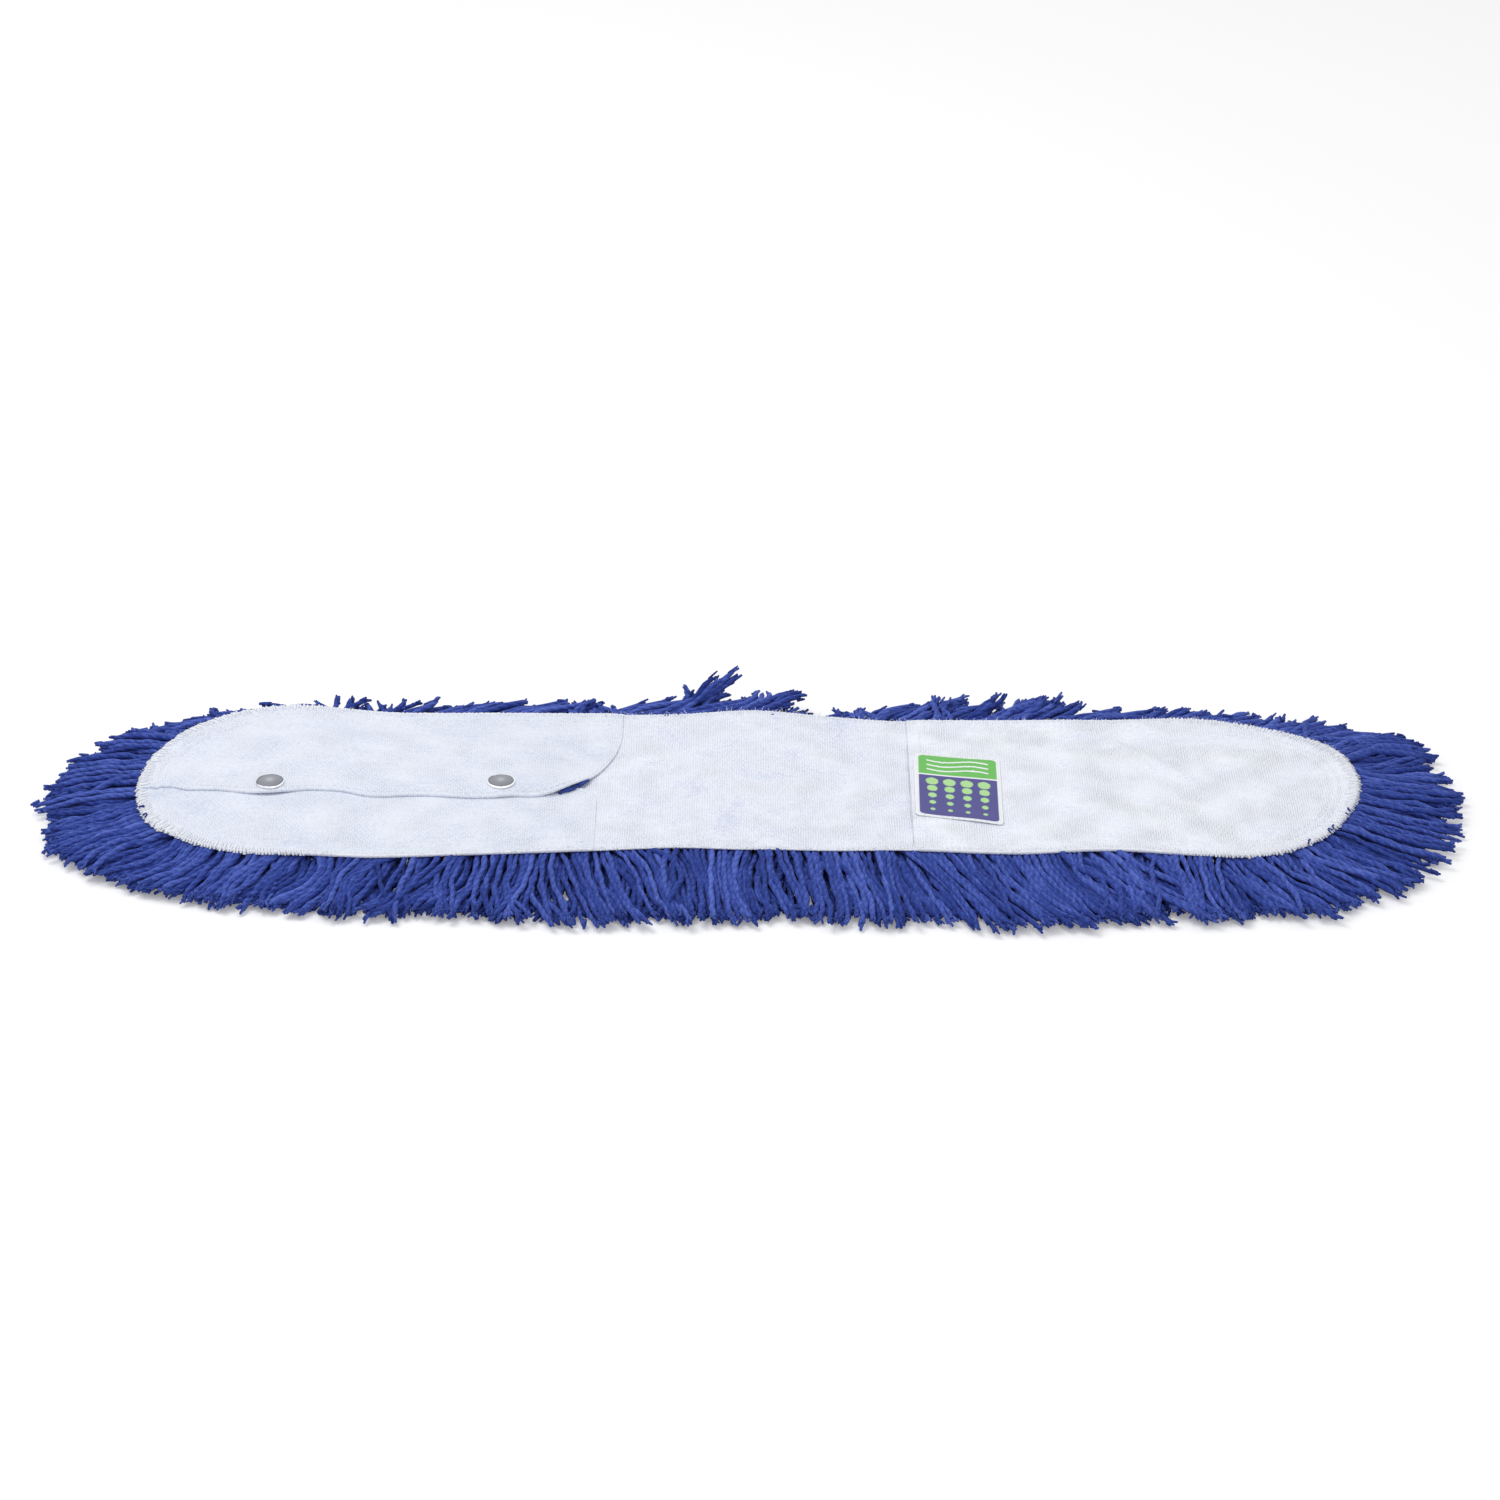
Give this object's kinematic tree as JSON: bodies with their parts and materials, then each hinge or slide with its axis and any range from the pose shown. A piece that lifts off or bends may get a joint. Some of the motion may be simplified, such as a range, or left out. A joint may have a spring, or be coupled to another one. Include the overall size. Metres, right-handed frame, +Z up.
{
  "type": "flat mop",
  "caption": "Flat dust mop sleeve: long canvas with round ends, a slip pocket and a press-stud pocket for a folding frame, and a yarn fringe all round.",
  "frame": {"origin": "on the surface that the yarn rests on, under the middle of the sleeve", "axes": "+X runs along the sleeve from the press-stud pocket to the slip pocket, +Y to the back, where the rear flap is sewn, +Z up out of the canvas"},
  "size_m": [0.764, 0.27, 0.0212],
  "materials": {
    "canvas": "white cotton and polyester canvas, plain weave",
    "tape": "woven heading tape",
    "yarn": "blue twisted cut-end yarn",
    "thread": "white sewing thread",
    "label": "woven label with a plain coloured design",
    "press_stud_metal": "nickel-plated steel press studs"
  },
  "bodies": {
    "sleeve": {"base_cloth": "canvas", "base_border": "canvas", "fringe_tape": "tape", "yarn_front": "yarn", "yarn_back": "yarn", "yarn_left": "yarn", "yarn_right": "yarn", "yarn_underside": "yarn", "slip_pocket": "canvas", "rear_flap_sewn": "canvas", "front_flap_sewn": "canvas", "label": "label", "snap_stud_left": "press_stud_metal", "snap_post_left": "press_stud_metal", "edge_overlock": "thread", "perimeter_seams": "thread", "pocket_hem_stitching": "thread", "label_stitching": "thread"},
    "rear_flap": {"rear_flap": "canvas", "snap_caps": "press_stud_metal", "snap_sockets": "press_stud_metal", "rear_flap_stitching": "thread"},
    "front_flap": {"front_flap": "canvas", "snap_stud_right": "press_stud_metal", "snap_post_right": "press_stud_metal", "front_flap_stitching": "thread"}
  },
  "joints": [
    {"name": "rear_flap_fold", "type": "hinge", "parent": "sleeve", "child": "rear_flap", "pos_m": [-0.069, 0.066, 0.02025], "axis": [-0.937, -0.3494, 0], "range_deg": [0, 165]},
    {"name": "front_flap_fold", "type": "hinge", "parent": "sleeve", "child": "front_flap", "pos_m": [-0.24064, -0.002, 0.017], "axis": [0.9282, -0.3721, 0], "range_deg": [0, 99]}
  ],
  "couplings": [
    {"joint": "front_flap_fold", "follows": "rear_flap_fold", "ratio": 0.6}
  ]
}
